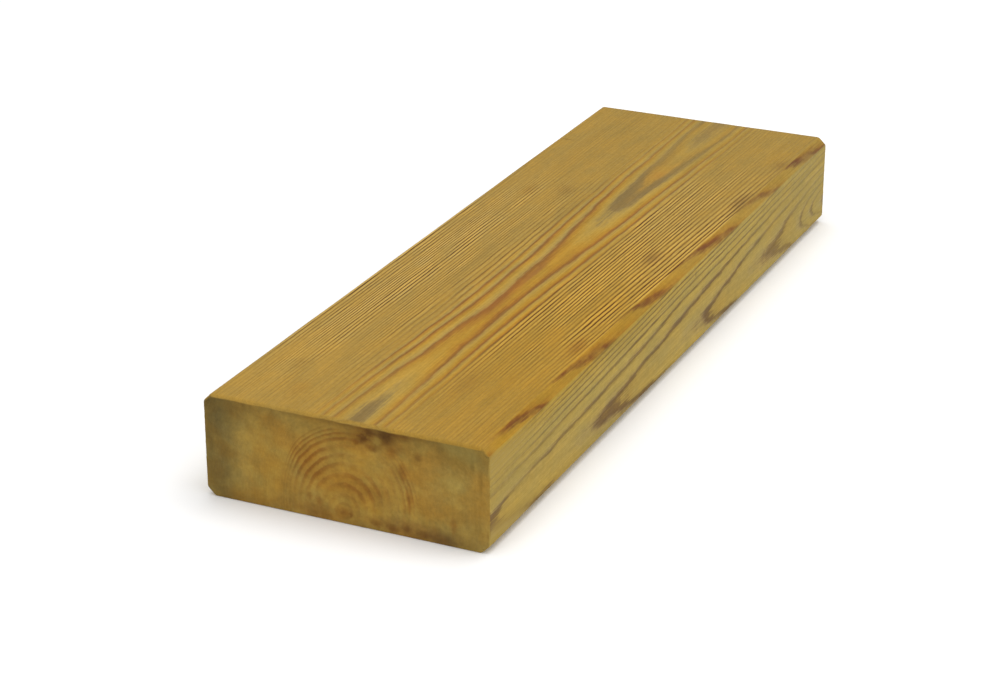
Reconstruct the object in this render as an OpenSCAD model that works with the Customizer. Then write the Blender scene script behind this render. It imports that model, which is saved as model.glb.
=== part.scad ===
// Timber plank: one length of planed, pressure treated softwood, lying flat on a broad face.
// X runs along the grain, Y across the plank and Z up. The origin is at the middle of the underside.

/* [Plank] */
// Length along the grain, from one cross-cut end to the other
plank_length = 400; // [100:10:3000]
// Width of the broad faces, over the two edges
plank_width = 125; // [60:1:250]
// Thickness between the broad faces
plank_thickness = 45; // [20:1:100]

/* [Arrises] */
// Depth of the 45 degree ease planed on the four long arrises, measured along each face
arris_ease = 3.5; // [0.5:0.1:8]

/* [Hidden] */

timber_colour = "#ad8c46";

// One corner of the section: the two points where its ease meets the edge and the broad face.
// side is -1 or 1 across the plank, and level is 0 at the underside and 1 at the top.
function edge_point(side, level) =
    [side * plank_width / 2, level * plank_thickness + (1 - 2 * level) * arris_ease];
function face_point(side, level) =
    [side * (plank_width / 2 - arris_ease), level * plank_thickness];

// The planed section, a rectangle with its four corners eased, drawn counter-clockwise.
module plank_section() {
    polygon([
        face_point(-1, 0), face_point(1, 0), edge_point(1, 0), edge_point(1, 1),
        face_point(1, 1), face_point(-1, 1), edge_point(-1, 1), edge_point(-1, 0)
    ]);
}

// The plank: the section run along the grain and cut square at both ends.
module plank() {
    color(timber_colour)
    rotate([90, 0, 90])
    linear_extrude(height = plank_length, center = true)
    plank_section();
}

plank();
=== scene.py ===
"""Looks of a timber plank: planed, pressure treated softwood lying flat on a pale studio floor.

The figure of the wood is one solid field. It gives the growth ring at every point inside the plank, so the
rings on the cross-cut ends, the flame on the broad faces, the arches on the edges and the lenses on the eased
arrises are all cuts through the same rings, and they meet where the faces meet. The field shapes the mesh's
raised grain, and the mesh carries it to the finish as an attribute.
"""
import logging
import math
from dataclasses import dataclass
from enum import Enum
from functools import reduce

import bpy
import numpy as np
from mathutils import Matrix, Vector


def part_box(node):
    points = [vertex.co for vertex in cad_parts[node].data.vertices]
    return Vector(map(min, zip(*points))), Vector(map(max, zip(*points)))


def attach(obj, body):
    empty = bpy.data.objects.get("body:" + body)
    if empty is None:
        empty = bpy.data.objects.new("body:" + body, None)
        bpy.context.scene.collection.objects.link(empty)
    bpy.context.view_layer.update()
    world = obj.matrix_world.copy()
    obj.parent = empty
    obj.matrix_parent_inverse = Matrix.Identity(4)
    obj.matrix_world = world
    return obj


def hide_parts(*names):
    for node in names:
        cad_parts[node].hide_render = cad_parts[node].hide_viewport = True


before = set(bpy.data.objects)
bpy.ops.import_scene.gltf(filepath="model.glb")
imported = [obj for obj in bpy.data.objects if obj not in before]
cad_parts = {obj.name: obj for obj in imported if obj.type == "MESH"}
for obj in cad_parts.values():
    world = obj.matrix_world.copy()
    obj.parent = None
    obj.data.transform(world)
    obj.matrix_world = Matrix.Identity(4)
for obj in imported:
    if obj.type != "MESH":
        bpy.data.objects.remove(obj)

Array = np.ndarray
Socket = bpy.types.NodeSocket
Colour = tuple[float, float, float]
Point = tuple[float, float, float]
Reach = tuple[float, float]
Stops = tuple[tuple[float, Colour], ...]

LOG = logging.getLogger("timber_plank")
MM = 0.001
PLANK_NODE = "plank"
BODY = "root"

RING_AGE = "ring_age"
SUNNED = "sunned"
END_GRAIN = "end_grain"
CROWDING = "ring_crowding"
ARRIS = "eased_arris"
# Each vertex's tint from the stains and from the painted shade.
TINT = "stain_and_shade_tint"
CLEAR = "clear_rings"
LATTICE_SHIFT = 40.0
TOP_TOLERANCE = 0.01
SRGB_FULL = 255.0
SRGB_TOE = 0.04045
SRGB_SLOPE = 12.92
SRGB_LIFT = 0.055
SRGB_POWER = 2.4
MIX_UNDER = 6
MIX_OVER = 7
MIX_RESULT = 2


def ease(low: float, high: float, value: Array) -> Array:
    """Smooth step: 0 below low, 1 above high, and a cubic with level ends between."""
    share = np.clip((value - low) / (high - low), 0.0, 1.0)
    return share * share * (3.0 - 2.0 * share)


def lattice_value(cell: Array, seed: int) -> Array:
    """A repeatable value from -1 to 1 for each whole-number lattice point, mixed from its three indices.

    Args:
        cell: whole-number lattice points, with the three axes last.
        seed: picks one of many lattices.

    Returns:
        One value for each point.
    """
    index = cell.astype(np.uint32)
    factors = np.array((374761393, 668265263, 506952120), np.uint32)
    stir = np.uint32(1274126177)
    with np.errstate(over="ignore"):
        mixed = (index * factors).sum(-1, dtype=np.uint32) + np.uint32(seed) * stir
        mixed = (mixed ^ (mixed >> np.uint32(13))) * stir
        mixed = mixed ^ (mixed >> np.uint32(16))
    low_bits = np.uint32(0xFFFFFF)
    return (mixed & low_bits) / (0.5 * float(low_bits)) - 1.0


def lattice_noise(places: Array, lengths: Point, seed: int) -> Array:
    """Smooth noise: the eight lattice values round a point, blended along each axis by a quintic ease.

    Args:
        places: points in millimetres, with X, Y and Z last.
        lengths: the lattice's spacing along X, Y and Z in millimetres.
        seed: picks one of many lattices.

    Returns:
        One value from -1 to 1 for each point.
    """
    spot = places / np.array(lengths)
    cell = np.floor(spot).astype(np.int64)
    part = spot - cell
    part = part * part * part * (part * (part * 6.0 - 15.0) + 10.0)
    total = np.zeros(places.shape[:-1])
    for corner in np.ndindex(2, 2, 2):
        weight = np.where(np.array(corner), part, 1.0 - part).prod(-1)
        total += weight * lattice_value(cell + np.array(corner), seed)
    return total


def grid_cells(index: Array) -> Array:
    """Four-cornered faces between the points of a grid, from the points' numbers laid out as the grid."""
    corners = (index[:-1, :-1], index[1:, :-1], index[1:, 1:], index[:-1, 1:])
    return np.stack(corners, -1).reshape(-1, 4)


def write_values(mesh: bpy.types.Mesh, name: str, values: Array) -> None:
    """Store one value for each vertex of the mesh as a named attribute."""
    mesh.attributes.new(name, "FLOAT", "POINT").data.foreach_set("value", values.astype(np.float32))


@dataclass(frozen=True)
class Noise:
    """Smooth noise on a lattice of its own, whose spacing along X, Y and Z is in millimetres."""

    lengths: Point
    seed: int

    def at(self, places: Array) -> Array:
        """The noise at each point, from -1 to 1."""
        return lattice_noise(places, self.lengths, self.seed)


@dataclass(frozen=True)
class Swell:
    """A place where the rings bulge outwards round a branch, in millimetres."""

    centre: Point
    spread: Point
    height: float

    def lift(self, places: Array) -> Array:
        """The bulge at each point: a bell curve along each axis, multiplied."""
        away = (places - np.array(self.centre)) / np.array(self.spread)
        return self.height * np.exp(-(away**2).sum(-1))


@dataclass(frozen=True)
class Wander:
    """One size of the rings' irregular waves, in millimetres."""

    height: float
    along: float
    across: float
    seed: int

    def lift(self, places: Array) -> Array:
        """The wave at each point: lattice noise stretched along the grain."""
        cell = np.array((self.along, self.across, self.across))
        return self.height * lattice_noise(places + LATTICE_SHIFT * cell, tuple(cell), self.seed)


@dataclass(frozen=True)
class GrowthRings:
    """The tree's rings as a solid field in the plank's frame, in millimetres.

    A reach is where an effect starts and where it is full. Widths are knots of ring radius and ring width.
    """

    pith_y: float = -1.0
    pith_z: float = 5.2
    pith_drift: float = -0.0085
    drift_reach: Reach = (12.0, 48.0)
    centre_rise: float = 2.9
    rise_reach: Reach = (2.0, 26.0)
    lean: float = 0.10
    front_reach: Reach = (20.0, 50.0)
    front_oval: float = 0.51
    front_taper: float = 0.004
    front_climb: float = 0.0064
    back_reach: Reach = (8.0, 50.0)
    back_crowding: float = 0.12
    crowding_reach: Reach = (6.0, 42.0)
    tight_band: float = 3.0
    tight_reach: Reach = (20.0, 35.0)
    taper: float = 0.0115
    calm_radius: float = 14.0
    widths: tuple[Reach, ...] = (
        (0.0, 3.2), (24.0, 3.2), (32.0, 1.52), (57.0, 1.5), (59.0, 2.0),
        (61.0, 2.0), (63.0, 1.7), (67.0, 1.39), (72.0, 1.1), (75.5, 2.1),
    )
    width_spread: float = 0.10
    last_edge: float = 120.0
    seed: int = 2130
    late_rise: Reach = (0.66, 0.84)
    late_fall: Reach = (0.95, 1.0)
    swells: tuple[Swell, ...] = (
        Swell((-215.0, -8.0, 45.0), (120.0, 30.0, 22.0), 3.0),
        Swell((-205.0, -5.0, 45.0), (38.0, 6.0, 20.0), 0.16),
        Swell((-66.0, -8.0, 45.0), (42.0, 5.0, 20.0), 0.24),
        Swell((214.0, -62.0, 12.0), (46.0, 40.0, 11.0), 4.2),
        Swell((-20.0, -62.5, 21.5), (120.0, 25.0, 7.0), -0.9),
        Swell((-60.0, 9.0, 45.0), (90.0, 13.0, 20.0), -0.85),
        Swell((-20.0, -23.0, 45.0), (190.0, 15.0, 20.0), 0.75),
    )
    wanders: tuple[Wander, ...] = (
        Wander(0.14, 95.0, 30.0, 11),
        Wander(0.12, 34.0, 16.0, 12),
        Wander(0.08, 13.0, 9.0, 13),
        Wander(0.07, 44.0, 1.8, 15),
    )

    def edges(self) -> Array:
        """Radii of the ring edges: a ring is as wide as the knots say at its start, give or take a share.

        Returns:
            The radii from the pith outwards, in millimetres.
        """
        draw = np.random.default_rng(self.seed)
        radii, widths = np.array(self.widths).T
        found = [0.0]
        while found[-1] < self.last_edge:
            width = np.interp(found[-1], radii, widths)
            found.append(found[-1] + width * (1.0 + self.width_spread * draw.standard_normal()))
        return np.array(found)

    def radius(self, places: Array) -> Array:
        """Distance from the pith, bent so that a ring is where the distance is constant.

        The distance is measured in a section whose centre drifts along the plank, leans across it and rises
        with the radius. In front it is stretched upwards, and behind it is stretched outwards and stepped up
        through a band of tight rings. It is lessened along X by the tree's taper, which is stronger in front
        and fades behind, and by the swells, and it is stirred by the wanders.

        Args:
            places: points in millimetres, with X, Y and Z last.

        Returns:
            The ring radius at each point.
        """
        along, across, up = places[..., 0], places[..., 1], places[..., 2]
        drift = self.pith_drift * along * (1.0 - ease(*self.drift_reach, np.abs(across - self.pith_y)))
        side = across - self.pith_y - drift
        rise = up - self.pith_z + self.lean * side
        plain = np.hypot(side, rise)
        rise = rise - self.centre_rise * ease(*self.rise_reach, plain)
        front, back = ease(*self.front_reach, -side), ease(*self.back_reach, side)
        climb = self.front_taper + self.front_climb * np.maximum(rise, 0.0) / np.maximum(plain, 1.0)
        loss = self.taper * (1.0 - back) + front * climb
        tight = self.tight_band * ease(*self.tight_reach, side)
        side = side * (1.0 + self.back_crowding * ease(*self.crowding_reach, side))
        stretch = 1.0 + self.front_oval * front * (rise > 0.0)
        bent = np.sqrt(side**2 + stretch * rise**2) + tight - loss * along
        bent -= sum(swell.lift(places) for swell in self.swells)
        bent += ease(0.0, self.calm_radius, plain) * sum(wander.lift(places) for wander in self.wanders)
        return bent

    def age(self, places: Array) -> Array:
        """Rings counted from the pith at each point, with the part of a ring that is passed as a fraction."""
        edges = self.edges()
        return np.interp(self.radius(places), edges, np.arange(len(edges)))

    def late_wood(self, age: Array) -> Array:
        """Share of dense late wood, which rises late in a ring and falls away at its edge."""
        part = age - np.floor(age)
        return ease(*self.late_rise, part) * (1.0 - ease(*self.late_fall, part))


@dataclass(frozen=True)
class Section:
    """The planed section, a rectangle with its four corners eased, in millimetres."""

    width: float
    thickness: float
    arris: float

    @classmethod
    def of_node(cls, node: bpy.types.Object) -> "Section":
        """Read the section off the construction's mesh.

        Args:
            node: the plank's object in the frame.

        Returns:
            The section, with its ease measured where the top face ends.
        """
        flat = np.empty(len(node.data.vertices) * 3)
        node.data.vertices.foreach_get("co", flat)
        places = flat.reshape(-1, 3) / MM
        low, high = places.min(0), places.max(0)
        on_top = places[:, 2] > high[2] - TOP_TOLERANCE
        return cls(high[1] - low[1], high[2] - low[2], high[1] - places[on_top, 1].max())

    def corners(self) -> Array:
        """The outline's corners, counter-clockwise seen from +X.

        Returns:
            Y and Z of each corner, from the middle of the lower front ease round to it again.
        """
        half, top, cut = self.width / 2.0, self.thickness, self.arris
        middle = (-half + cut / 2.0, cut / 2.0)
        return np.array((
            middle, (-half + cut, 0.0), (half - cut, 0.0), (half, cut), (half, top - cut),
            (half - cut, top), (-half + cut, top), (-half, top - cut), (-half, cut), middle,
        ))


@dataclass(frozen=True)
class Plank:
    """The plank's dressed mesh: a skin carried along the grain, closed by a grid on each cross-cut end.

    Sizes are in millimetres. The steps are even numbers of cells for half an ease, a broad face and an edge.
    """

    section: Section
    length: float
    rings: GrowthRings
    half_ease_steps: int = 6
    face_steps: int = 280
    edge_steps: int = 90
    row_pitch: float = 4.6
    soften_passes: int = 3
    end_round: float = 1.2
    end_round_rows: int = 7
    sharp_share: float = 0.28
    rim_width: float = 0.55
    raised_grain: float = 0.06
    flat_reach: Reach = (0.24, 0.52)
    young_reach: Reach = (30.0, 36.0)
    arris_wobble: float = 0.16
    wobble: Noise = Noise((31.0, 25.0, 25.0), 21)
    wear_share: float = 0.15
    wear: Noise = Noise((50.0, 7.0, 7.0), 22)
    upward_reach: Reach = (0.5, 0.95)
    end_reach: Reach = (0.2, 0.7)
    saw_relief: float = 0.03
    saw_centre: tuple[float, float] = (40.0, -150.0)
    saw_pitch: float = 3.7
    saw_shake: Noise = Noise((9.0, 30.0, 30.0), 31)
    saw_fuzz: Noise = Noise((5.0, 1.9, 1.9), 32)
    stroke_share: float = 0.4
    sun_border: float = 0.25
    end_crowding: float = 0.4

    def outline(self) -> Array:
        """Points round the section, evenly spaced on each face and softened by repeated three-point averages.

        Returns:
            Y and Z of each point.
        """
        half, face, edge = self.half_ease_steps, self.face_steps, self.edge_steps
        steps = (half, face, 2 * half, edge, 2 * half, face, 2 * half, edge, half)
        corners = self.section.corners()
        stretches = [
            start + (end - start) * np.arange(count)[:, None] / count
            for start, end, count in zip(corners[:-1], corners[1:], steps)
        ]
        points = np.concatenate(stretches)
        for _ in range(self.soften_passes):
            points = (np.roll(points, 1, 0) + 2.0 * points + np.roll(points, -1, 0)) / 4.0
        return points

    @staticmethod
    def outward(points: Array) -> Array:
        """Unit normals of a closed outline: its central difference, turned a quarter clockwise.

        Args:
            points: Y and Z of the outline's points.

        Returns:
            Y and Z of each normal.
        """
        run = np.roll(points, -1, 0) - np.roll(points, 1, 0)
        normal = np.stack((run[:, 1], -run[:, 0]), -1)
        return normal / np.linalg.norm(normal, axis=1, keepdims=True)

    def rows(self) -> tuple[Array, Array]:
        """Places of the section along X, and how far each is drawn in to round the end arrises.

        The last rows at each end follow a quarter circle.

        Returns:
            X of each row, and its inset.
        """
        turn = np.linspace(0.0, math.pi / 2.0, self.end_round_rows)
        from_end = self.end_round * (1.0 - np.sin(turn))[::-1]
        half = self.length / 2.0
        count = round((self.length - 2.0 * self.end_round) / self.row_pitch)
        middle = np.linspace(-half + self.end_round, half - self.end_round, count + 1)[1:-1]
        along = np.concatenate((-half + from_end, middle, (half - from_end)[::-1]))
        drawn = self.end_round * (1.0 - np.cos(turn))[::-1]
        inset = np.concatenate((drawn, np.zeros(len(middle)), drawn[::-1]))
        return along, inset

    def skin(self) -> tuple[Array, Array, Array, Array]:
        """The long faces: the outline carried along X, drawn in at the ends and cut back by the raised grain.

        A point lies at its place on the outline less its normal times the cut. The cut is deepest in the
        soft early wood where rings run wide. The eased arrises waver by a slow noise, and the ends are worn.

        Returns:
            Points in millimetres with one row for each place along X, rings crossed in a millimetre round
            the outline at each point, how fully it is on an eased arris, and how fully it shows end grain.
        """
        outline = self.outline()
        normal = self.outward(outline)
        along, inset = self.rows()
        plain = np.empty((len(along), len(outline), 3))
        plain[..., 0] = along[:, None]
        plain[..., 1:] = outline
        age = self.rings.age(plain)
        reach = np.linalg.norm(np.roll(outline, -1, 0) - np.roll(outline, 1, 0), axis=1)
        crowding = np.abs(np.roll(age, -1, 1) - np.roll(age, 1, 1)) / reach
        early = 1.0 - self.rings.late_wood(age)
        cut = self.raised_grain * early * (1.0 - ease(*self.flat_reach, crowding))
        slanted = np.abs(normal[:, 0] * normal[:, 1]) * 2.0
        cut = cut + self.arris_wobble * slanted * (0.5 + 0.5 * self.wobble.at(plain))
        worn = 1.0 + self.wear_share * self.wear.at(plain)
        upward = ease(*self.upward_reach, normal[:, 1])
        cut = cut + inset[:, None] * worn * (self.sharp_share + (1.0 - self.sharp_share) * upward)
        endwise = ease(*self.end_reach, inset / self.end_round)[:, None] * (1.0 - upward)
        places = plain.copy()
        places[..., 1:] -= normal * cut[..., None]
        return places, crowding, np.broadcast_to(slanted, crowding.shape), endwise

    def end_grid(self, rim: Array) -> Array:
        """A grid over a cross-cut end: a patch blended from its four bounding curves, as a Coons patch is.

        Args:
            rim: the end's rim as Y and Z, every second point of which bounds the grid.

        Returns:
            Y and Z of each grid point, with the first axis across and the second up.
        """
        bound = rim[::2] - self.outward(rim)[::2] * self.rim_width
        across = self.half_ease_steps + self.face_steps // 2
        up = self.half_ease_steps + self.edge_steps // 2
        bottom, right = bound[: across + 1], bound[across : across + up + 1]
        top = bound[across + up : 2 * across + up + 1][::-1]
        left = np.concatenate((bound[2 * across + up :], bound[:1]))[::-1]
        u = np.linspace(0.0, 1.0, across + 1)[:, None, None]
        v = np.linspace(0.0, 1.0, up + 1)[None, :, None]
        ruled = (1 - v) * bottom[:, None] + v * top[:, None] + (1 - u) * left[None] + u * right[None]
        flat = (1 - u) * ((1 - v) * bottom[0] + v * top[0]) + u * ((1 - v) * bottom[-1] + v * top[-1])
        return ruled - flat

    def end_points(self, grid: Array, outward_x: float) -> Array:
        """Put an end's grid in its plane, cut back by the saw's arcs and by the soft early wood.

        Args:
            grid: Y and Z of the grid points.
            outward_x: -1 for the near end, 1 for the far end.

        Returns:
            Points in millimetres.
        """
        places = np.empty(grid.shape[:2] + (3,))
        places[..., 0] = outward_x * self.length / 2.0
        places[..., 1:] = grid
        early = 1.0 - self.rings.late_wood(self.rings.age(places))
        sweep = np.linalg.norm(grid - np.array(self.saw_centre), axis=-1)
        stroke = 0.5 + 0.5 * np.sin(2.0 * math.pi * sweep / self.saw_pitch + self.saw_shake.at(places))
        fuzz = 0.5 + 0.5 * self.saw_fuzz.at(places)
        young = 1.0 - ease(*self.young_reach, self.rings.radius(places))
        sawn = self.saw_relief * (self.stroke_share * stroke + (1.0 - self.stroke_share) * fuzz)
        places[..., 0] -= outward_x * (sawn + self.raised_grain * early * young)
        return places

    def faces(self, rows: int, points: int, grid: tuple[int, int]) -> tuple[Array, Array, Array]:
        """Faces of the closed mesh, all turned outwards.

        The skin's cells run round and along. An end's grid has half as many cells as its rim, so each of its
        bounding cells takes three triangles to meet two rim cells.

        Args:
            rows: rows of the skin.
            points: points round the skin.
            grid: points across and up an end's grid.

        Returns:
            The skin's quads, the ends' quads and the ends' triangles.
        """
        ring = np.arange(points)
        after = np.roll(ring, -1)
        base = (np.arange(rows - 1) * points)[:, None]
        onward = base + points
        skin = np.stack((base + ring, base + after, onward + after, onward + ring), -1).reshape(-1, 4)
        across, up = grid
        index = np.arange(across * up).reshape(grid)
        cells = grid_cells(index)
        bound = np.concatenate((index[:-1, 0], index[-1, :-1], index[:0:-1, -1], index[0, :0:-1]))
        ahead = np.roll(bound, -1)
        first, second, third = ring[::2], ring[1::2], np.roll(ring[::2], -1)
        near = rows * points
        far = near + across * up
        last = (rows - 1) * points
        quads, triangles = [], []
        for start, rim, turn in ((near, 0, -1), (far, last, 1)):
            quads.append((start + cells)[:, ::turn])
            fans = (
                (rim + first, rim + second, start + bound),
                (rim + second, start + ahead, start + bound),
                (rim + second, rim + third, start + ahead),
            )
            triangles += [np.stack(fan, -1)[:, ::turn] for fan in fans]
        return skin, np.concatenate(quads), np.concatenate(triangles)

    def build(self) -> bpy.types.Object:
        """Make the plank's object, with what the finish reads at each vertex as attributes.

        They are the ring count, the crowding of rings, the sunned faces, the eased arrises and the end grain.

        Returns:
            The object, at the origin, with its place in its mesh.
        """
        skin, crowding, slanted, endwise = self.skin()
        rows, points = skin.shape[:2]
        turns = ((0, -1.0), (rows - 1, 1.0))
        ends = [self.end_points(self.end_grid(skin[row, :, 1:]), turn) for row, turn in turns]
        grid = ends[0].shape[:2]
        places = np.concatenate([part.reshape(-1, 3) for part in (skin, *ends)])
        skin_faces, end_quads, end_triangles = self.faces(rows, points, grid)
        mesh = bpy.data.meshes.new("timber_plank")
        faces = skin_faces.tolist() + end_quads.tolist() + end_triangles.tolist()
        mesh.from_pydata((places * MM).tolist(), [], faces)
        mesh.shade_smooth()
        top_ease = self.section.thickness - self.section.arris
        sunned = ease(top_ease - self.sun_border, top_ease + self.sun_border, places[:, 2])
        after_skin = (0, len(places) - rows * points)
        write_values(mesh, RING_AGE, self.rings.age(places))
        write_values(mesh, SUNNED, sunned)
        write_values(mesh, CROWDING, np.pad(crowding.ravel(), after_skin, constant_values=self.end_crowding))
        write_values(mesh, ARRIS, np.pad(slanted.ravel(), after_skin))
        write_values(mesh, END_GRAIN, np.pad(endwise.ravel(), after_skin, constant_values=1.0))
        mesh.validate()
        piece = bpy.data.objects.new("timber_plank", mesh)
        bpy.context.scene.collection.objects.link(piece)
        LOG.info("timber_plank: %d vertices, %d faces", len(mesh.vertices), len(mesh.polygons))
        return piece


def paint(red: float, green: float, blue: float) -> Colour:
    """Turn a screen's colour into light values by the sRGB curve.

    Args:
        red: from 0 to 255.
        green: from 0 to 255.
        blue: from 0 to 255.

    Returns:
        The light values, from 0 to 1.
    """
    shown = np.array((red, green, blue)) / SRGB_FULL
    curve = ((shown + SRGB_LIFT) / (1.0 + SRGB_LIFT)) ** SRGB_POWER
    return tuple(np.where(shown > SRGB_TOE, curve, shown / SRGB_SLOPE).tolist())


def scaled(colour: Colour, gain: Colour) -> Colour:
    """Multiply a colour by a gain, channel by channel."""
    return tuple(part * share for part, share in zip(colour, gain))


@dataclass(frozen=True)
class Fade:
    """A smooth step: it gives start at low and end at high, and low may be the greater."""

    low: float
    high: float
    start: float = 0.0
    end: float = 1.0


@dataclass(frozen=True)
class Grit:
    """How much fine noise a noise carries, and how strong each finer size is."""

    detail: float
    roughness: float


@dataclass(frozen=True)
class Cloud:
    """Noise with cells in millimetres, stepped by a fade."""

    cell: Point
    step: Fade


class Lay(Enum):
    """How a colour lies on another: over it, or as a tint that the lower one shows through."""

    COVER = "MIX"
    TINT = "MULTIPLY"


CLOUD_GRIT = Grit(3.0, 0.55)
FIBRE_GRIT = Grit(3.0, 0.6)
MARK_GRIT = Grit(4.0, 0.6)
RING_GRIT = Grit(2.0, 0.55)
MARK_LOBES = (2.6, 2.6, 2.6)
NEEDLE_CELL = (16.0, 0.7, 0.7)
RIPPLE_CELL = (6.0, 4.0, 4.0)
PATCH_CORE = 0.15
BROAD_LOBES = Noise((0.6, 0.6, 0.6), 41)
FINE_LOBES = Noise((0.25, 0.25, 0.25), 42)
BROAD_STIR = 0.22
FINE_STIR = 0.12
LATE_RISE = Fade(0.62, 0.84)
LATE_FALL = Fade(1.0, 0.95)


class Sketch:
    """Adds nodes to one tree and links them, so that a finish reads as a list of steps."""

    def __init__(self, tree: bpy.types.NodeTree) -> None:
        """Keep the tree that the nodes go into."""
        self.tree = tree

    def node(self, kind: str, **settings: object) -> bpy.types.Node:
        """Add a node and set its properties.

        Args:
            kind: the node's type name.
            settings: its properties by name.

        Returns:
            The node.
        """
        made = self.tree.nodes.new(kind)
        for name, value in settings.items():
            setattr(made, name, value)
        return made

    def feed(self, socket: Socket, value: Socket | float | Colour) -> None:
        """Link a socket to another one, or give it a plain value.

        Args:
            socket: the socket to fill.
            value: another socket, a number, a vector or a colour.
        """
        if isinstance(value, bpy.types.NodeSocket):
            self.tree.links.new(value, socket)
        elif socket.type == "RGBA":
            socket.default_value = (*value, 1.0)
        else:
            socket.default_value = value

    def math(self, operation: str, first: Socket | float, second: Socket | float = 0.0) -> Socket:
        """One sum on two numbers.

        Args:
            operation: the sum's name.
            first: the first number.
            second: the second number.

        Returns:
            The result.
        """
        made = self.node("ShaderNodeMath", operation=operation)
        self.feed(made.inputs[0], first)
        self.feed(made.inputs[1], second)
        return made.outputs[0]

    def product(self, *values: Socket | float) -> Socket:
        """Multiply numbers together."""
        return reduce(lambda first, second: self.math("MULTIPLY", first, second), values)

    def vector(self, operation: str, first: Socket | Point, second: Socket | Point) -> Socket:
        """One sum on two vectors.

        Args:
            operation: the sum's name.
            first: the first vector.
            second: the second vector.

        Returns:
            The result, a number for LENGTH and a vector otherwise.
        """
        made = self.node("ShaderNodeVectorMath", operation=operation)
        self.feed(made.inputs[0], first)
        self.feed(made.inputs[1], second)
        return made.outputs["Value" if operation == "LENGTH" else "Vector"]

    def fade(self, value: Socket, step: Fade) -> Socket:
        """Step a value smoothly.

        Args:
            value: the value to step.
            step: where the step runs and what it gives.

        Returns:
            The stepped value.
        """
        made = self.node("ShaderNodeMapRange", interpolation_type="SMOOTHSTEP")
        numbers = {
            "Value": value, "From Min": step.low, "From Max": step.high,
            "To Min": step.start, "To Max": step.end,
        }
        for name, number in numbers.items():
            self.feed(made.inputs[name], number)
        return made.outputs["Result"]

    def noise(self, place: Socket, grit: Grit) -> Socket:
        """Fractal noise of unit size, from 0 to 1 about a half.

        Args:
            place: where to look.
            grit: how much fine noise it has.

        Returns:
            The noise.
        """
        made = self.node("ShaderNodeTexNoise", noise_dimensions="3D")
        numbers = {"Vector": place, "Scale": 1.0, "Detail": grit.detail, "Roughness": grit.roughness}
        for name, number in numbers.items():
            self.feed(made.inputs[name], number)
        return made.outputs["Fac"]

    def ramp(self, value: Socket, stops: Stops) -> Socket:
        """Colours along a value.

        Args:
            value: where to look, from 0 to 1.
            stops: places and their colours, in order.

        Returns:
            The colour.
        """
        made = self.node("ShaderNodeValToRGB")
        bar = made.color_ramp.elements
        while len(bar) < len(stops):
            bar.new(0.5)
        for element, (place, colour) in zip(bar, stops):
            element.position = place
            element.color = (*colour, 1.0)
        self.feed(made.inputs["Fac"], value)
        return made.outputs["Color"]

    def blend(
        self, share: Socket | float, under: Socket | Colour, over: Socket | Colour, lay: Lay = Lay.COVER
    ) -> Socket:
        """Lay one colour over another.

        Args:
            share: how much of the upper colour shows.
            under: the lower colour.
            over: the upper colour.
            lay: the way they mix.

        Returns:
            The mixed colour.
        """
        made = self.node("ShaderNodeMix", data_type="RGBA", blend_type=lay.value)
        self.feed(made.inputs["Factor"], share)
        self.feed(made.inputs[MIX_UNDER], under)
        self.feed(made.inputs[MIX_OVER], over)
        return made.outputs[MIX_RESULT]

    def tint(self, colour: Socket, factor: Socket) -> Socket:
        """Multiply a colour by another one, channel by channel."""
        return self.blend(1.0, colour, factor, Lay.TINT)

    def shade(self, colour: Socket, value: Socket) -> Socket:
        """Multiply all channels of a colour by one number.

        Args:
            colour: the colour.
            value: the number.

        Returns:
            The shaded colour.
        """
        grey = self.node("ShaderNodeCombineColor")
        for channel in ("Red", "Green", "Blue"):
            self.feed(grey.inputs[channel], value)
        return self.tint(colour, grey.outputs["Color"])

    def place(self, group: bpy.types.NodeTree, **values: Socket | float | Point) -> bpy.types.Node:
        """Put a node group into the tree and fill its inputs.

        Args:
            group: the node group.
            values: its inputs by name.

        Returns:
            The group's node.
        """
        made = self.node("ShaderNodeGroup", node_tree=group)
        for name, value in values.items():
            self.feed(made.inputs[name], value)
        return made


class Effect:
    """A node group with named inputs and outputs, built once and placed where a finish needs it."""

    def __init__(self, name: str, inputs: dict[str, str], outputs: dict[str, str]) -> None:
        """Make the empty group.

        Args:
            name: the group's name.
            inputs: each input's name and kind.
            outputs: each output's name and kind.
        """
        self.group = bpy.data.node_groups.new(name, "ShaderNodeTree")
        for side, sockets in (("INPUT", inputs), ("OUTPUT", outputs)):
            for socket, kind in sockets.items():
                self.group.interface.new_socket(socket, in_out=side, socket_type="NodeSocket" + kind)
        self.sketch = Sketch(self.group)
        self.given = self.sketch.node("NodeGroupInput").outputs
        self.result = self.sketch.node("NodeGroupOutput").inputs


def fibre_effect() -> bpy.types.NodeTree:
    """Streaks of fibre along X: noise whose cells are as long and as thin as asked.

    Returns:
        The group. Streak is from 0 to 1 about a half.
    """
    effect = Effect(
        "fibre_streaks", {"Place": "Vector", "Length": "Float", "Thickness": "Float"}, {"Streak": "Float"}
    )
    sketch = effect.sketch
    cell = sketch.node("ShaderNodeCombineXYZ")
    for axis, name in zip("XYZ", ("Length", "Thickness", "Thickness")):
        sketch.feed(cell.inputs[axis], effect.given[name])
    spot = sketch.vector("DIVIDE", effect.given["Place"], cell.outputs[0])
    sketch.feed(effect.result["Streak"], sketch.noise(spot, FIBRE_GRIT))
    return effect.group


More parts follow.
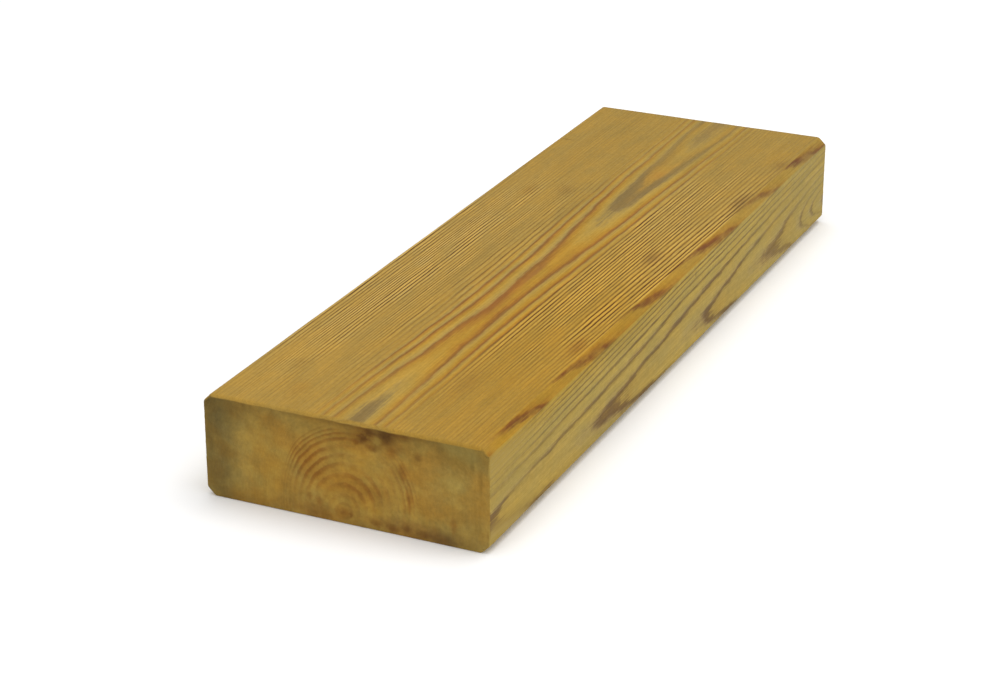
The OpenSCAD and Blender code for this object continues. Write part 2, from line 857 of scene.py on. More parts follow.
def mark_effect() -> bpy.types.NodeTree:
    """A soft ragged patch: 1 at its centre, fading to 0 at its size, with the border stirred by noise.

    Returns:
        The group.
    """
    effect = Effect(
        "mark_patch",
        {"Place": "Vector", "Centre": "Vector", "Size": "Vector", "Raggedness": "Float"},
        {"Mask": "Float"},
    )
    sketch = effect.sketch
    away = sketch.vector("SUBTRACT", effect.given["Place"], effect.given["Centre"])
    spot = sketch.vector("DIVIDE", away, effect.given["Size"])
    reach = sketch.vector("LENGTH", spot, (0.0, 0.0, 0.0))
    stir = sketch.noise(sketch.vector("MULTIPLY", spot, MARK_LOBES), MARK_GRIT)
    ragged = sketch.product(sketch.math("SUBTRACT", stir, 0.5), effect.given["Raggedness"])
    sketch.feed(effect.result["Mask"], sketch.fade(sketch.math("ADD", reach, ragged), Fade(1.0, PATCH_CORE)))
    return effect.group


def ring_effect() -> bpy.types.NodeTree:
    """How far through its ring a point is, with the ring's edge stirred by needles and ripples of noise.

    Returns:
        The group. Part runs from 0 at a ring's start to 1 at its edge, Late is 1 in the dense late wood, and
        Vigour is one value from 0 to 1 for a whole ring.
    """
    effect = Effect(
        "growth_ring",
        {"Age": "Float", "Place": "Vector", "Needles": "Float", "Ripple": "Float"},
        {"Part": "Float", "Late": "Float", "Vigour": "Float"},
    )
    sketch = effect.sketch
    age = effect.given["Age"]
    for name, cell in (("Needles", NEEDLE_CELL), ("Ripple", RIPPLE_CELL)):
        noise = sketch.noise(sketch.vector("DIVIDE", effect.given["Place"], cell), RING_GRIT)
        stir = sketch.product(sketch.math("SUBTRACT", noise, 0.5), effect.given[name])
        age = sketch.math("ADD", age, stir)
    part = sketch.math("FRACT", age)
    chance = sketch.node("ShaderNodeTexWhiteNoise", noise_dimensions="1D")
    sketch.feed(chance.inputs["W"], sketch.math("FLOOR", age))
    sketch.feed(effect.result["Part"], part)
    late = sketch.product(sketch.fade(part, LATE_RISE), sketch.fade(part, LATE_FALL))
    sketch.feed(effect.result["Late"], late)
    sketch.feed(effect.result["Vigour"], chance.outputs["Value"])
    return effect.group


class Tone(Enum):
    """A ring's colours on one kind of surface, as a screen shows them, from the ring's start to its edge."""

    WEDGE = (
        (0.00, (181, 148, 75)),
        (0.10, (185, 149, 70)),
        (0.28, (180, 140, 62)),
        (0.42, (176, 135, 61)),
        (0.50, (156, 124, 66)),
        (0.60, (145, 117, 67)),
        (0.85, (146, 119, 69)),
        (0.93, (166, 137, 73)),
        (1.00, (181, 148, 75)),
    )
    FLAME = (
        (0.00, (184, 151, 77)),
        (0.12, (189, 153, 71)),
        (0.36, (184, 141, 54)),
        (0.50, (178, 131, 51)),
        (0.60, (160, 111, 49)),
        (0.70, (146, 100, 48)),
        (0.78, (150, 109, 56)),
        (0.87, (172, 140, 74)),
        (1.00, (184, 151, 77)),
    )
    FINE = (
        (0.00, (206, 170, 93)),
        (0.38, (209, 171, 88)),
        (0.56, (190, 147, 67)),
        (0.66, (101, 63, 20)),
        (0.84, (74, 43, 10)),
        (0.93, (138, 101, 45)),
        (1.00, (205, 169, 92)),
    )
    ARRIS = (
        (0.00, (173, 138, 63)),
        (0.36, (174, 137, 58)),
        (0.60, (166, 123, 50)),
        (0.72, (134, 86, 42)),
        (0.85, (122, 76, 42)),
        (0.94, (150, 112, 54)),
        (1.00, (173, 138, 63)),
    )
    ARCH = (
        (0.00, (174, 150, 84)),
        (0.45, (175, 148, 77)),
        (0.56, (167, 140, 73)),
        (0.64, (126, 99, 58)),
        (0.75, (118, 91, 56)),
        (0.81, (138, 111, 66)),
        (0.90, (169, 144, 80)),
        (1.00, (174, 150, 84)),
    )
    LINE = (
        (0.00, (177, 153, 82)),
        (0.35, (184, 159, 83)),
        (0.48, (175, 150, 78)),
        (0.63, (118, 93, 50)),
        (0.80, (108, 84, 46)),
        (0.92, (164, 139, 74)),
        (1.00, (177, 153, 82)),
    )

    def stops(self, gain: Colour) -> Stops:
        """The ring's colours as shares of light given back, brought down by the gain."""
        return tuple((place, scaled(paint(*shown), gain)) for place, shown in self.value)


SAWN_RING: Stops = (
    (0.00, (1.0, 1.0, 1.0)),
    (0.34, (1.0, 0.98, 0.96)),
    (0.62, (0.68, 0.50, 0.42)),
    (0.86, (0.68, 0.50, 0.42)),
    (1.00, (1.0, 1.0, 1.0)),
)


@dataclass(frozen=True)
class TintPatch:
    """One soft patch that tints the wood, in millimetres: most are stains, and two are painted shade. Its
    colour is a factor for each channel.
    """

    centre: Point
    size: Point
    colour: Colour
    strength: float = 0.9
    raggedness: float = 0.9

    def mask(self, places: Array) -> Array:
        """A soft ragged patch: full at its centre, fading to 0 at its size, with the border stirred by noise.

        Args:
            places: points in millimetres, with X, Y and Z last.

        Returns:
            The stain's share at each point.
        """
        away = (places - np.array(self.centre)) / np.array(self.size)
        broad, fine = (noise.at(away + LATTICE_SHIFT) for noise in (BROAD_LOBES, FINE_LOBES))
        stir = self.raggedness * (BROAD_STIR * broad + FINE_STIR * fine)
        return self.strength * (1.0 - ease(PATCH_CORE, 1.0, np.linalg.norm(away, axis=-1) + stir))


def end_stain(
    across: float, up: float, width: float, height: float, colour: Colour,
    strength: float = 0.9, raggedness: float = 0.9,
) -> TintPatch:
    """A tint patch on the near end, from its centre's Y and Z and its size along Y and Z, in millimetres."""
    return TintPatch((NEAR_END, across, up), (END_DEPTH, width, height), colour, strength, raggedness)


@dataclass(frozen=True)
class Mark:
    """One small sharp mark, in millimetres. A cover's colour is a screen's, and a tint's is a factor."""

    centre: Point
    size: Point
    colour: Colour
    strength: float
    lay: Lay = Lay.COVER
    raggedness: float = 0.9


NEAR_END = -200.0
END_DEPTH = 5.0
NO_TINT = (1.0, 1.0, 1.0)
TOP_STAINS_AND_SHADE = (
    TintPatch((-110.0, -48.0, 45.0), (230.0, 58.0, 14.0), (0.99, 0.90, 0.54)),
    TintPatch((-165.0, 46.0, 45.0), (70.0, 30.0, 14.0), (1.08, 1.07, 1.06)),
    TintPatch((200.0, 0.0, 45.0), (240.0, 110.0, 14.0), (0.93, 0.97, 1.06)),
    TintPatch((-20.0, 52.0, 45.0), (230.0, 40.0, 14.0), (0.98, 1.0, 1.12), 0.8),
    TintPatch((60.0, 10.0, 45.0), (90.0, 22.0, 14.0), (0.90, 0.92, 0.95), 0.7),
    TintPatch((8.0, -45.0, 45.0), (15.0, 6.0, 4.0), (0.70, 0.64, 0.74), 0.8),
    TintPatch((92.0, -56.0, 44.0), (24.0, 5.0, 4.0), (0.66, 0.60, 0.70), 0.8),
    TintPatch((-98.0, -54.0, 45.0), (16.0, 5.0, 4.0), (0.80, 0.68, 0.66), 0.8),
    TintPatch((150.0, -56.0, 44.0), (12.0, 4.0, 4.0), (0.70, 0.64, 0.74), 0.8),
    TintPatch((165.0, -61.0, 43.0), (70.0, 5.0, 5.0), (0.86, 0.93, 1.15)),
    TintPatch((-160.0, 41.0, 45.0), (10.0, 4.5, 3.0), (0.86, 0.84, 0.82)),
    TintPatch((73.0, 25.0, 45.0), (12.0, 6.0, 3.0), (0.88, 0.83, 0.80)),
    TintPatch((66.0, 41.0, 45.0), (14.0, 5.0, 3.0), (0.88, 0.84, 0.80)),
    TintPatch((-182.0, 30.0, 45.0), (14.0, 6.0, 3.0), (0.92, 0.88, 0.84)),
    TintPatch((-150.0, -28.0, 45.0), (26.0, 7.0, 3.0), (0.94, 0.90, 0.88)),
    TintPatch((-186.0, -61.2, 43.0), (12.0, 4.0, 4.0), (1.02, 1.03, 0.72), 0.8),
    # Painted shadow: a small dark reddish spot at the tip of the near front eased arris.
    TintPatch((-199.0, -62.3, 42.0), (6.0, 2.4, 2.4), (0.80, 0.68, 0.62), 1.0, 0.4),
)
SIDE_STAINS_AND_SHADE = (
    TintPatch((-175.0, -62.5, 5.0), (80.0, 5.0, 13.0), (1.13, 1.09, 0.92)),
    TintPatch((195.0, -62.5, 14.0), (130.0, 5.0, 40.0), (0.99, 1.03, 1.18)),
    # Painted shade: darker towards the bottom of the front edge, tinted a little green.
    TintPatch((0.0, -62.5, 0.0), (260.0, 5.0, 7.0), (0.90, 0.92, 0.86), 0.7),
)
END_STAINS = (
    end_stain(-2.0, 22.0, 34.0, 26.0, (1.05, 0.95, 0.74), 0.8),
    end_stain(62.0, 22.0, 24.0, 80.0, (0.70, 0.75, 0.86), 1.0, 0.5),
    end_stain(58.0, 22.0, 11.0, 60.0, (0.88, 0.90, 0.96), 1.0, 0.6),
    end_stain(60.5, 24.0, 4.0, 40.0, (0.86, 0.86, 0.86)),
    end_stain(53.0, 25.0, 8.5, 60.0, (0.84, 0.84, 0.88), 1.0, 0.5),
    end_stain(-25.0, 36.0, 15.0, 9.0, (0.96, 0.93, 0.86)),
    end_stain(34.0, 20.0, 14.0, 24.0, (1.06, 1.08, 1.02)),
    end_stain(-50.0, 24.0, 16.0, 24.0, (0.98, 1.04, 1.12)),
    end_stain(0.0, 44.0, 120.0, 14.0, (0.78, 0.76, 0.72)),
    end_stain(2.0, 44.5, 60.0, 4.0, (0.72, 0.66, 0.60)),
    end_stain(52.0, 42.0, 26.0, 16.0, (0.74, 0.75, 0.80)),
    end_stain(-52.0, 41.0, 26.0, 14.0, (0.76, 0.82, 0.92)),
    end_stain(-52.0, 4.0, 20.0, 14.0, (0.84, 0.86, 0.92)),
    end_stain(0.0, 0.0, 80.0, 10.0, (0.88, 0.86, 0.86)),
    end_stain(-15.0, 43.0, 20.0, 4.5, (0.68, 0.58, 0.52)),
    end_stain(-13.0, 38.5, 12.0, 5.5, (0.80, 0.70, 0.60)),
    end_stain(-8.6, 38.8, 3.6, 2.8, (0.50, 0.40, 0.35), 1.0),
    end_stain(-5.6, 36.6, 3.0, 2.0, (0.66, 0.54, 0.46)),
    end_stain(-11.2, 41.6, 3.4, 2.2, (0.58, 0.48, 0.42)),
    end_stain(-18.8, 41.0, 4.8, 4.4, (0.46, 0.37, 0.32), 1.0),
    end_stain(-25.0, 42.4, 6.5, 2.8, (0.66, 0.56, 0.50)),
    end_stain(-12.6, 35.0, 3.6, 2.0, (0.70, 0.58, 0.48)),
    end_stain(-23.0, 37.6, 7.0, 3.8, (0.82, 0.70, 0.62)),
    end_stain(-32.1, 35.4, 2.6, 2.6, (0.70, 0.60, 0.54)),
    end_stain(-21.0, 34.5, 3.4, 3.2, (0.80, 0.64, 0.54), 0.8),
    end_stain(-25.6, 27.0, 2.4, 6.0, (0.76, 0.60, 0.50), 0.8),
    end_stain(-28.2, 17.0, 2.2, 8.0, (0.78, 0.62, 0.52), 0.8),
    end_stain(-43.0, 1.5, 10.0, 5.5, (0.58, 0.54, 0.64), 1.0),
    end_stain(-30.0, 3.0, 26.0, 6.0, (0.84, 0.70, 0.64)),
    end_stain(13.0, 2.5, 14.0, 5.0, (0.84, 0.70, 0.62)),
    end_stain(-13.5, 3.0, 3.2, 2.4, (0.68, 0.56, 0.50)),
    end_stain(-20.5, 2.4, 3.6, 2.6, (0.66, 0.54, 0.50)),
    end_stain(-27.0, 3.8, 3.0, 2.6, (0.68, 0.56, 0.52)),
    end_stain(-34.0, 2.6, 4.0, 2.6, (0.66, 0.56, 0.54)),
    end_stain(0.5, 4.6, 4.6, 3.4, (0.80, 0.66, 0.58), 1.0),
    end_stain(-2.6, 4.4, 1.3, 1.6, (0.70, 0.55, 0.50)),
    end_stain(-10.0, 8.0, 8.0, 6.0, (1.12, 1.12, 1.02), 0.8),
    end_stain(11.5, 8.0, 2.2, 3.0, (0.76, 0.58, 0.50), 0.8),
    end_stain(15.5, 9.0, 1.8, 2.4, (0.74, 0.56, 0.48), 0.8),
    end_stain(-47.0, 8.8, 2.0, 5.5, (0.80, 0.66, 0.60)),
    end_stain(-58.6, 29.0, 1.0, 9.0, (0.72, 0.72, 0.70)),
    end_stain(-55.0, 36.0, 1.2, 6.0, (0.76, 0.76, 0.74), 0.8),
)
MARKS = (
    Mark((-62.0, -4.0, 45.0), (58.0, 3.6, 3.0), (158, 96, 46), 0.4),
    Mark((-28.0, -4.5, 45.0), (22.0, 2.2, 3.0), (148, 92, 56), 0.5),
    Mark((112.0, -6.5, 45.0), (9.0, 4.0, 3.0), (182, 132, 58), 0.5),
    Mark((143.0, 55.0, 45.0), (1.6, 5.0, 3.0), (0.74, 0.72, 0.70), 0.9, Lay.TINT),
    Mark((17.0, -62.5, 37.4), (0.7, 2.0, 2.8), (0.55, 0.52, 0.58), 0.9, Lay.TINT),
    Mark((-200.0, -14.4, 38.4), (5.0, 2.6, 2.8), (152, 124, 58), 0.75),
    Mark((-190.0, -62.5, 3.5), (52.0, 1.0, 11.5), (177, 150, 78), 0.95),
    Mark((-196.0, -62.5, 37.0), (46.0, 1.0, 8.0), (178, 151, 80), 0.75),
)
CLEAR_ZONES = (
    end_stain(15.0, 25.0, 19.0, 18.0, NO_TINT),
    end_stain(-2.0, 9.0, 15.0, 12.0, NO_TINT, 0.32),
    end_stain(-8.0, 17.0, 17.0, 9.0, NO_TINT, 0.7),
    end_stain(-27.0, 21.0, 9.0, 19.0, NO_TINT, 0.45),
    end_stain(5.0, 37.0, 15.0, 5.0, NO_TINT, 0.7),
    TintPatch((200.0, 6.0, 20.0), (5.0, 34.0, 24.0), NO_TINT, 0.8),
)


@dataclass(frozen=True)
class TimberFinish:
    """Planed, pressure treated softwood with no coating.

    Lengths are in millimetres. Plain colours are a screen's, and gains and mottles are factors. A ring shows
    as a line where rings crowd, as an arch or the flame where they run flat, and as a lens on an eased arris.
    """

    # Stains on the top and the edges, with two patches of painted shade among them.
    stains_and_shade: tuple[TintPatch, ...] = TOP_STAINS_AND_SHADE + SIDE_STAINS_AND_SHADE
    end_stains: tuple[TintPatch, ...] = END_STAINS
    marks: tuple[Mark, ...] = MARKS
    clear_zones: tuple[TintPatch, ...] = CLEAR_ZONES
    top_gain: Colour = (0.745, 0.745, 0.68)
    side_gain: Colour = (0.825, 0.815, 0.725)
    end_gain: Colour = (0.80, 0.80, 0.76)
    top_plain: Colour = (175, 139, 65)
    side_plain: Colour = (168, 143, 76)
    end_olive: Colour = (163, 134, 65)
    end_brown: Colour = (155, 119, 51)
    needles: Fade = Fade(0.1, 0.6, 0.30, 0.18)
    ripple: Fade = Fade(0.0, 1.0, 0.16, 0.34)
    line_skew: float = 0.5
    near_lines: Fade = Fade(-180.0, -45.0, 0.11, 1.0)
    far_lines: Fade = Fade(140.0, 10.0, 0.11, 1.0)
    front_lines: Fade = Fade(-30.0, 8.0, 1.4, 0.66)
    back_lines: Fade = Fade(26.0, 38.0, 0.0, 1.1)
    ring_lines: Fade = Fade(0.0, 1.0, 0.62, 1.28)
    wide_lines: Fade = Fade(0.32, 0.6, 0.55, 1.0)
    line_patches: Cloud = Cloud((28.0, 9.0, 9.0), Fade(0.34, 0.66, 0.42, 1.22))
    top_lines: Fade = Fade(0.2, 0.42)
    olive_rings: Fade = Fade(12.95, 13.05)
    far_flame: Fade = Fade(60.0, 150.0, 0.0, 0.4)
    near_flame: Fade = Fade(-110.0, -185.0, 0.0, 0.4)
    far_wedge: Fade = Fade(100.0, 140.0, 0.0, 0.45)
    rubbed_ends: Fade = Fade(198.4, 199.6, 0.0, 0.8)
    near_lenses: Fade = Fade(-198.0, -180.0)
    broken_lenses: Cloud = Cloud((22.0, 6.0, 6.0), Fade(0.30, 0.55, 0.4, 1.0))
    arris_band: Fade = Fade(0.2, 0.8)
    side_lines: Fade = Fade(0.06, 0.17)
    least_side_lines: Fade = Fade(-190.0, -110.0, 0.2, 0.62)
    far_side_lines: Fade = Fade(70.0, 170.0, 1.0, 0.45)
    far_arches: Fade = Fade(70.0, 170.0, 0.0, 0.4)
    end_patches: Cloud = Cloud((12.0, 15.0, 11.0), Fade(0.32, 0.66))
    end_streaks: Cloud = Cloud((6.0, 3.4, 18.0), Fade(0.3, 0.7, 0.94, 1.05))
    end_flecks: Cloud = Cloud((3.0, 3.2, 2.2), Fade(0.3, 0.7, 0.94, 1.06))
    end_clearings: Cloud = Cloud((9.0, 11.0, 11.0), Fade(0.4, 0.7, 0.05, 0.3))
    young_rings: Fade = Fade(12.6, 11.0)
    fibre_length: float = 30.0
    fibre_thickness: float = 0.35
    fibre_on_end: Fade = Fade(0.0, 1.0, 1.0, 0.25)
    fibre_level: float = 0.375
    fibre_shade: Fade = Fade(0.25, 0.75, 0.86, 1.12)
    band_length: float = 120.0
    band_thickness: float = 6.0
    band_shade: Fade = Fade(0.25, 0.75, 0.95, 1.05)
    speckle: Cloud = Cloud((2.6, 1.4, 1.4), Fade(0.25, 0.75, 0.93, 1.07))
    mottle: Cloud = Cloud((22.0, 9.0, 9.0), Fade(0.3, 0.7))
    cool_mottle: Colour = (0.94, 0.97, 1.04)
    warm_mottle: Colour = (1.055, 1.03, 0.94)
    late_height: float = 0.03
    fibre_height: float = 0.06
    roughness: Fade = Fade(0.0, 1.0, 0.74, 0.60)
    specular: float = 0.1

    def stain_and_shade(self, mesh: bpy.types.Mesh) -> None:
        """Store the stains and the painted shade on the mesh: each vertex's tint, and how clearly it shows
        the rings of an end.

        A tint is the product of the patches' colours, each let through as far as its mask says.

        Args:
            mesh: the plank's mesh.
        """
        flat = np.empty(len(mesh.vertices) * 3)
        mesh.vertices.foreach_get("co", flat)
        places = flat.reshape(-1, 3) / MM
        on_end = np.empty(len(places), np.float32)
        mesh.attributes[END_GRAIN].data.foreach_get("value", on_end)
        tint = np.ones_like(places)
        for stains_and_shade, share in ((self.stains_and_shade, 1.0 - on_end), (self.end_stains, on_end)):
            for stain_and_shade in stains_and_shade:
                tint *= 1.0 + (share * stain_and_shade.mask(places))[:, None] * (np.array(stain_and_shade.colour) - 1.0)
        clear = np.max([zone.mask(places) for zone in self.clear_zones], axis=0)
        tints = mesh.attributes.new(TINT, "FLOAT_VECTOR", "POINT")
        tints.data.foreach_set("vector", tint.astype(np.float32).ravel())
        write_values(mesh, CLEAR, clear)

    def material(self) -> bpy.types.Material:
        """Build the material: the wood's colour, a roughness by ring and a bump from late wood and fibres.

        Returns:
            The material.
        """
        made = bpy.data.materials.new("treated_softwood")
        made.use_nodes = True
        made.node_tree.nodes.clear()
        sketch = Sketch(made.node_tree)
        output = sketch.node("ShaderNodeOutputMaterial")
        shader = sketch.node("ShaderNodeBsdfPrincipled")
        sketch.feed(output.inputs["Surface"], shader.outputs["BSDF"])
        wood = WoodColours(sketch, self)
        fibre = wood.fibre()
        sketch.feed(shader.inputs["Base Color"], wood.marked(wood.toned(wood.figure(), fibre)))
        sketch.feed(shader.inputs["Roughness"], sketch.fade(wood.late, self.roughness))
        shader.inputs["Specular IOR Level"].default_value = self.specular
        late = sketch.product(wood.late, self.late_height)
        bump = sketch.node("ShaderNodeBump")
        bump.inputs["Distance"].default_value = MM
        bump.inputs["Strength"].default_value = 1.0
        sketch.feed(bump.inputs["Height"], sketch.math("ADD", late, sketch.product(fibre, self.fibre_height)))
        sketch.feed(shader.inputs["Normal"], bump.outputs["Normal"])
        return made


class WoodColours:
    """The steps that colour the wood, from the mesh's attributes and the place on the plank."""

    def __init__(self, sketch: Sketch, finish: TimberFinish) -> None:
        """Read what is known at each point.

        Args:
            sketch: the material's sketch.
            finish: the finish's values.
        """
        self.sketch = sketch
        self.finish = finish
        metres = sketch.node("ShaderNodeTexCoord").outputs["Object"]
        self.place = sketch.vector("DIVIDE", metres, (MM, MM, MM))
        axes = sketch.node("ShaderNodeSeparateXYZ")
        sketch.feed(axes.inputs[0], self.place)
        self.along, self.across = axes.outputs["X"], axes.outputs["Y"]
        self.age, self.crowding, self.sunned, self.arris, self.on_end, self.clear = (
            sketch.node("ShaderNodeAttribute", attribute_name=name).outputs["Fac"]
            for name in (RING_AGE, CROWDING, SUNNED, ARRIS, END_GRAIN, CLEAR)
        )
        self.streaks = fibre_effect()
        # The tint of the stains and of the painted shade.
        self.stains_and_shade = sketch.node("ShaderNodeAttribute", attribute_name=TINT).outputs["Vector"]
        needles = sketch.fade(self.crowding, finish.needles)
        ripple = sketch.fade(self.on_end, finish.ripple)
        placed = sketch.place(ring_effect(), Age=self.age, Place=self.place, Needles=needles, Ripple=ripple)
        ring = placed.outputs
        self.part, self.late, self.vigour = ring["Part"], ring["Late"], ring["Vigour"]

    def cloud(self, cloud: Cloud) -> Socket:
        """Noise with the cloud's cells, stepped by its fade."""
        noise = self.sketch.noise(self.sketch.vector("DIVIDE", self.place, cloud.cell), CLOUD_GRIT)
        return self.sketch.fade(noise, cloud.step)

    def line_strength(self) -> Socket:
        """How strongly lines show: by patch, ring, place and crowding, and less towards both ends.

        Returns:
            The strength, from 0 to 1.
        """
        sketch, finish = self.sketch, self.finish
        slant = sketch.math("ADD", self.along, sketch.product(self.across, finish.line_skew))
        front = sketch.fade(self.across, finish.front_lines)
        back = sketch.fade(self.across, finish.back_lines)
        shown = sketch.product(
            sketch.fade(slant, finish.near_lines),
            sketch.fade(slant, finish.far_lines),
            sketch.fade(self.vigour, finish.ring_lines),
            self.cloud(finish.line_patches),
            sketch.math("MAXIMUM", front, back),
            sketch.fade(self.crowding, finish.wide_lines),
        )
        return sketch.math("MINIMUM", shown, 1.0)

    def top_face(self, shown: Socket) -> Socket:
        """Colour the top and its arrises: the flame where rings run flat, fine lines where they crowd.

        Args:
            shown: how strongly lines show.

        Returns:
            The colour.
        """
        sketch, finish = self.sketch, self.finish
        wedge, flame, fine, arris = (
            sketch.ramp(self.part, tone.stops(finish.top_gain))
            for tone in (Tone.WEDGE, Tone.FLAME, Tone.FINE, Tone.ARRIS)
        )
        plain = scaled(paint(*finish.top_plain), finish.top_gain)
        flame = sketch.blend(sketch.fade(self.along, finish.far_flame), flame, plain)
        flame = sketch.blend(sketch.fade(self.along, finish.near_flame), flame, plain)
        wedge = sketch.blend(sketch.fade(self.along, finish.far_wedge), wedge, plain)
        flame = sketch.blend(sketch.fade(self.age, finish.olive_rings), wedge, flame)
        fine = sketch.blend(shown, plain, fine)
        top = sketch.blend(sketch.fade(self.crowding, finish.top_lines), flame, fine)
        rubbed = sketch.fade(sketch.math("ABSOLUTE", self.along), finish.rubbed_ends)
        top = sketch.blend(rubbed, top, plain)
        broken = sketch.product(self.cloud(finish.broken_lenses), sketch.fade(self.along, finish.near_lenses))
        arris = sketch.blend(broken, plain, arris)
        return sketch.blend(sketch.fade(self.arris, finish.arris_band), top, arris)

    def side_face(self, shown: Socket) -> Socket:
        """Colour the edges: arches where rings run flat, soft lines where they crowd.

        Args:
            shown: how strongly lines show.

        Returns:
            The colour.
        """
        sketch, finish = self.sketch, self.finish
        arch, line = (sketch.ramp(self.part, tone.stops(finish.side_gain)) for tone in (Tone.ARCH, Tone.LINE))
        plain = scaled(paint(*finish.side_plain), finish.side_gain)
        least = sketch.fade(self.along, finish.least_side_lines)
        far = sketch.fade(self.along, finish.far_side_lines)
        line = sketch.blend(sketch.product(sketch.math("MAXIMUM", shown, least), far), plain, line)
        arch = sketch.blend(sketch.fade(self.along, finish.far_arches), arch, plain)
        return sketch.blend(sketch.fade(self.crowding, finish.side_lines), arch, line)

    def sawn_end(self) -> Socket:
        """Colour the cross-cut ends: brown and olive patches, upright streaks, and rings in the clear zones.

        Returns:
            The colour.
        """
        sketch, finish = self.sketch, self.finish
        shades = (finish.end_olive, finish.end_brown)
        olive, brown = (scaled(paint(*shown), finish.end_gain) for shown in shades)
        base = sketch.blend(self.cloud(finish.end_patches), olive, brown)
        flecked = sketch.product(self.cloud(finish.end_streaks), self.cloud(finish.end_flecks))
        base = sketch.shade(base, flecked)
        clear = sketch.math("MAXIMUM", self.cloud(finish.end_clearings), self.clear)
        ringed = sketch.tint(base, sketch.ramp(self.part, SAWN_RING))
        return sketch.blend(sketch.product(clear, sketch.fade(self.age, finish.young_rings)), base, ringed)

    def figure(self) -> Socket:
        """Colour the rings as each kind of face shows them.

        Returns:
            The wood's colour before its tones and stains.
        """
        shown = self.line_strength()
        long_faces = self.sketch.blend(self.sunned, self.side_face(shown), self.top_face(shown))
        return self.sketch.blend(self.on_end, long_faces, self.sawn_end())

    def streak(self, length: float, thickness: float) -> Socket:
        """Streaks along the grain, as long and as thick as given."""
        return self.sketch.place(
            self.streaks, Place=self.place, Length=length, Thickness=thickness
        ).outputs["Streak"]

    def fibre(self) -> Socket:
        """Fine streaks of fibre, which are fainter on the ends.

        Returns:
            The streaks, from 0 to 1.
        """
        sketch, finish = self.sketch, self.finish
        streak = self.streak(finish.fibre_length, finish.fibre_thickness)
        faint = sketch.product(streak, sketch.fade(self.on_end, finish.fibre_on_end))
        return sketch.math("ADD", faint, sketch.product(self.on_end, finish.fibre_level))

    def toned(self, colour: Socket, fibre: Socket) -> Socket:
        """Shade the wood by its fibres, broad bands and speckles, and warm it by its mottle.

        Args:
            colour: the colour so far.
            fibre: the fine streaks of fibre.

        Returns:
            The toned colour.
        """
        sketch, finish = self.sketch, self.finish
        band = self.streak(finish.band_length, finish.band_thickness)
        colour = sketch.shade(colour, sketch.fade(fibre, finish.fibre_shade))
        colour = sketch.shade(colour, sketch.fade(band, finish.band_shade))
        colour = sketch.shade(colour, self.cloud(finish.speckle))
        warmth = sketch.blend(self.cloud(finish.mottle), finish.cool_mottle, finish.warm_mottle)
        return sketch.tint(colour, warmth)

    def marked(self, colour: Socket) -> Socket:
        """Lay the tint of the stains and the painted shade, and then the small marks on the wood.

        Args:
            colour: the colour so far.

        Returns:
            The colour with the stains and the marks.
        """
        sketch = self.sketch
        colour = sketch.tint(colour, self.stains_and_shade)
        patch = mark_effect()
        for mark in self.finish.marks:
            mask = sketch.place(
                patch, Place=self.place, Centre=mark.centre, Size=mark.size, Raggedness=mark.raggedness
            ).outputs["Mask"]
            over = mark.colour
            if mark.lay is Lay.COVER:
                over = scaled(paint(*mark.colour), self.finish.top_gain)
            colour = sketch.blend(sketch.product(mask, mark.strength), colour, over, mark.lay)
        return colour


@dataclass(frozen=True)
class Softbox:
    """A square soft light aimed at the middle of the floor. Lengths are in metres and its power in watts."""

    name: str
    place: Point
    size: float
    power: float

    def hang(self) -> None:
        """Make the light, put it in its place and aim it."""
        light = bpy.data.lights.new(self.name, "AREA")
        light.shape = "SQUARE"
        light.size = self.size
        light.energy = self.power
        lamp = bpy.data.objects.new(self.name, light)
        aim(lamp, self.place, (0.0, 0.0, 0.0))
        bpy.context.scene.collection.objects.link(lamp)


def aim(thing: bpy.types.Object, place: Point, target: Point) -> None:
    """Put a light or a camera in its place and turn it to a target."""
    thing.location = place
    thing.rotation_euler = (Vector(target) - Vector(place)).to_track_quat("-Z", "Y").to_euler()


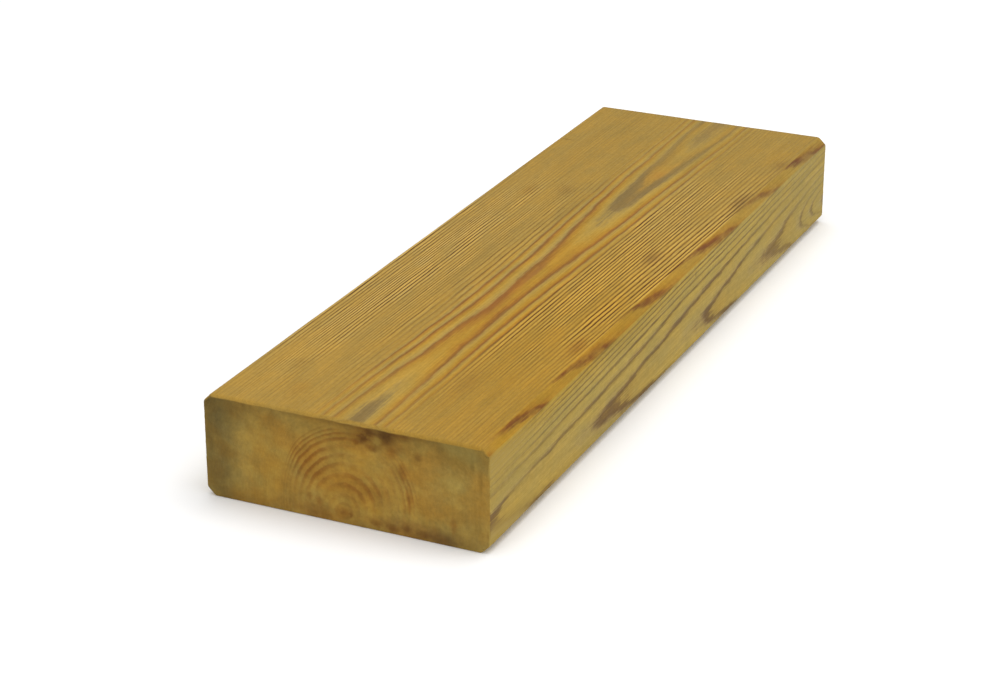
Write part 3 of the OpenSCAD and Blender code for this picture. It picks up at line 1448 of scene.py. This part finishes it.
@dataclass(frozen=True)
class Studio:
    """A pale floor, a soft overhead light, two side lights and a white surround. Lengths are in metres."""

    floor_size: float = 12.0
    floor_points: int = 5
    floor_shade: float = 0.90
    floor_roughness: float = 0.9
    floor_specular: float = 0.1
    surround: float = 0.62
    softboxes: tuple[Softbox, ...] = (
        Softbox("overhead_softbox", (0.1, -0.2, 1.8), 1.6, 22.0),
        Softbox("side_softbox", (0.5, -1.9, 0.9), 1.2, 11.0),
        Softbox("end_softbox", (-2.2, 0.3, 0.8), 1.2, 14.0),
    )

    def floor(self) -> bpy.types.Object:
        """Lay the floor under the plank: a flat grid whose height is zero everywhere.

        Returns:
            The floor's object.
        """
        step = np.linspace(-self.floor_size / 2.0, self.floor_size / 2.0, self.floor_points)
        across, along = np.meshgrid(step, step, indexing="ij")
        places = np.stack((across, along, np.zeros_like(across)), -1).reshape(-1, 3)
        index = np.arange(len(places)).reshape(across.shape)
        mesh = bpy.data.meshes.new("studio_floor")
        mesh.from_pydata(places.tolist(), [], grid_cells(index).tolist())
        made = bpy.data.materials.new("pale_floor")
        made.use_nodes = True
        shader = made.node_tree.nodes["Principled BSDF"]
        shader.inputs["Base Color"].default_value = (self.floor_shade,) * 3 + (1.0,)
        shader.inputs["Roughness"].default_value = self.floor_roughness
        shader.inputs["Specular IOR Level"].default_value = self.floor_specular
        mesh.materials.append(made)
        floor = bpy.data.objects.new("studio_floor", mesh)
        bpy.context.scene.collection.objects.link(floor)
        return floor

    def light(self) -> None:
        """Hang the lights and set the white surround."""
        world = bpy.data.worlds.new("white_surround")
        world.use_nodes = True
        background = world.node_tree.nodes["Background"]
        background.inputs["Color"].default_value = (1.0, 1.0, 1.0, 1.0)
        background.inputs["Strength"].default_value = self.surround
        bpy.context.scene.world = world
        for softbox in self.softboxes:
            softbox.hang()
        bpy.context.scene.view_settings.view_transform = "Standard"


@dataclass(frozen=True)
class PhotoCamera:
    """The camera at the photograph's viewing angle. Lengths are in metres."""

    place: Point = (-1.0040, -0.4387, 0.4695)
    target: Point = (-0.0586, -0.0012, 0.0225)
    view_angle: float = 21.63

    def build(self) -> None:
        """Make the camera, aim it and make it the scene's own."""
        lens = bpy.data.cameras.new("photo_camera")
        lens.sensor_fit = "HORIZONTAL"
        lens.angle = math.radians(self.view_angle)
        camera = bpy.data.objects.new("photo_camera", lens)
        aim(camera, self.place, self.target)
        bpy.context.scene.collection.objects.link(camera)
        bpy.context.scene.camera = camera


def main() -> None:
    """Build the studio and the plank in order."""
    logging.basicConfig(level=logging.INFO, format="%(name)s: %(message)s")
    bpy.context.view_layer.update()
    PhotoCamera().build()
    studio = Studio()
    studio.light()
    studio.floor()
    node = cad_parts[PLANK_NODE]
    low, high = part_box(PLANK_NODE)
    plank = Plank(Section.of_node(node), (high.x - low.x) / MM, GrowthRings())
    piece = plank.build()
    finish = TimberFinish()
    finish.stain_and_shade(piece.data)
    piece.data.materials.append(finish.material())
    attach(piece, BODY)
    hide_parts(PLANK_NODE)


if __name__ == "__main__":
    main()
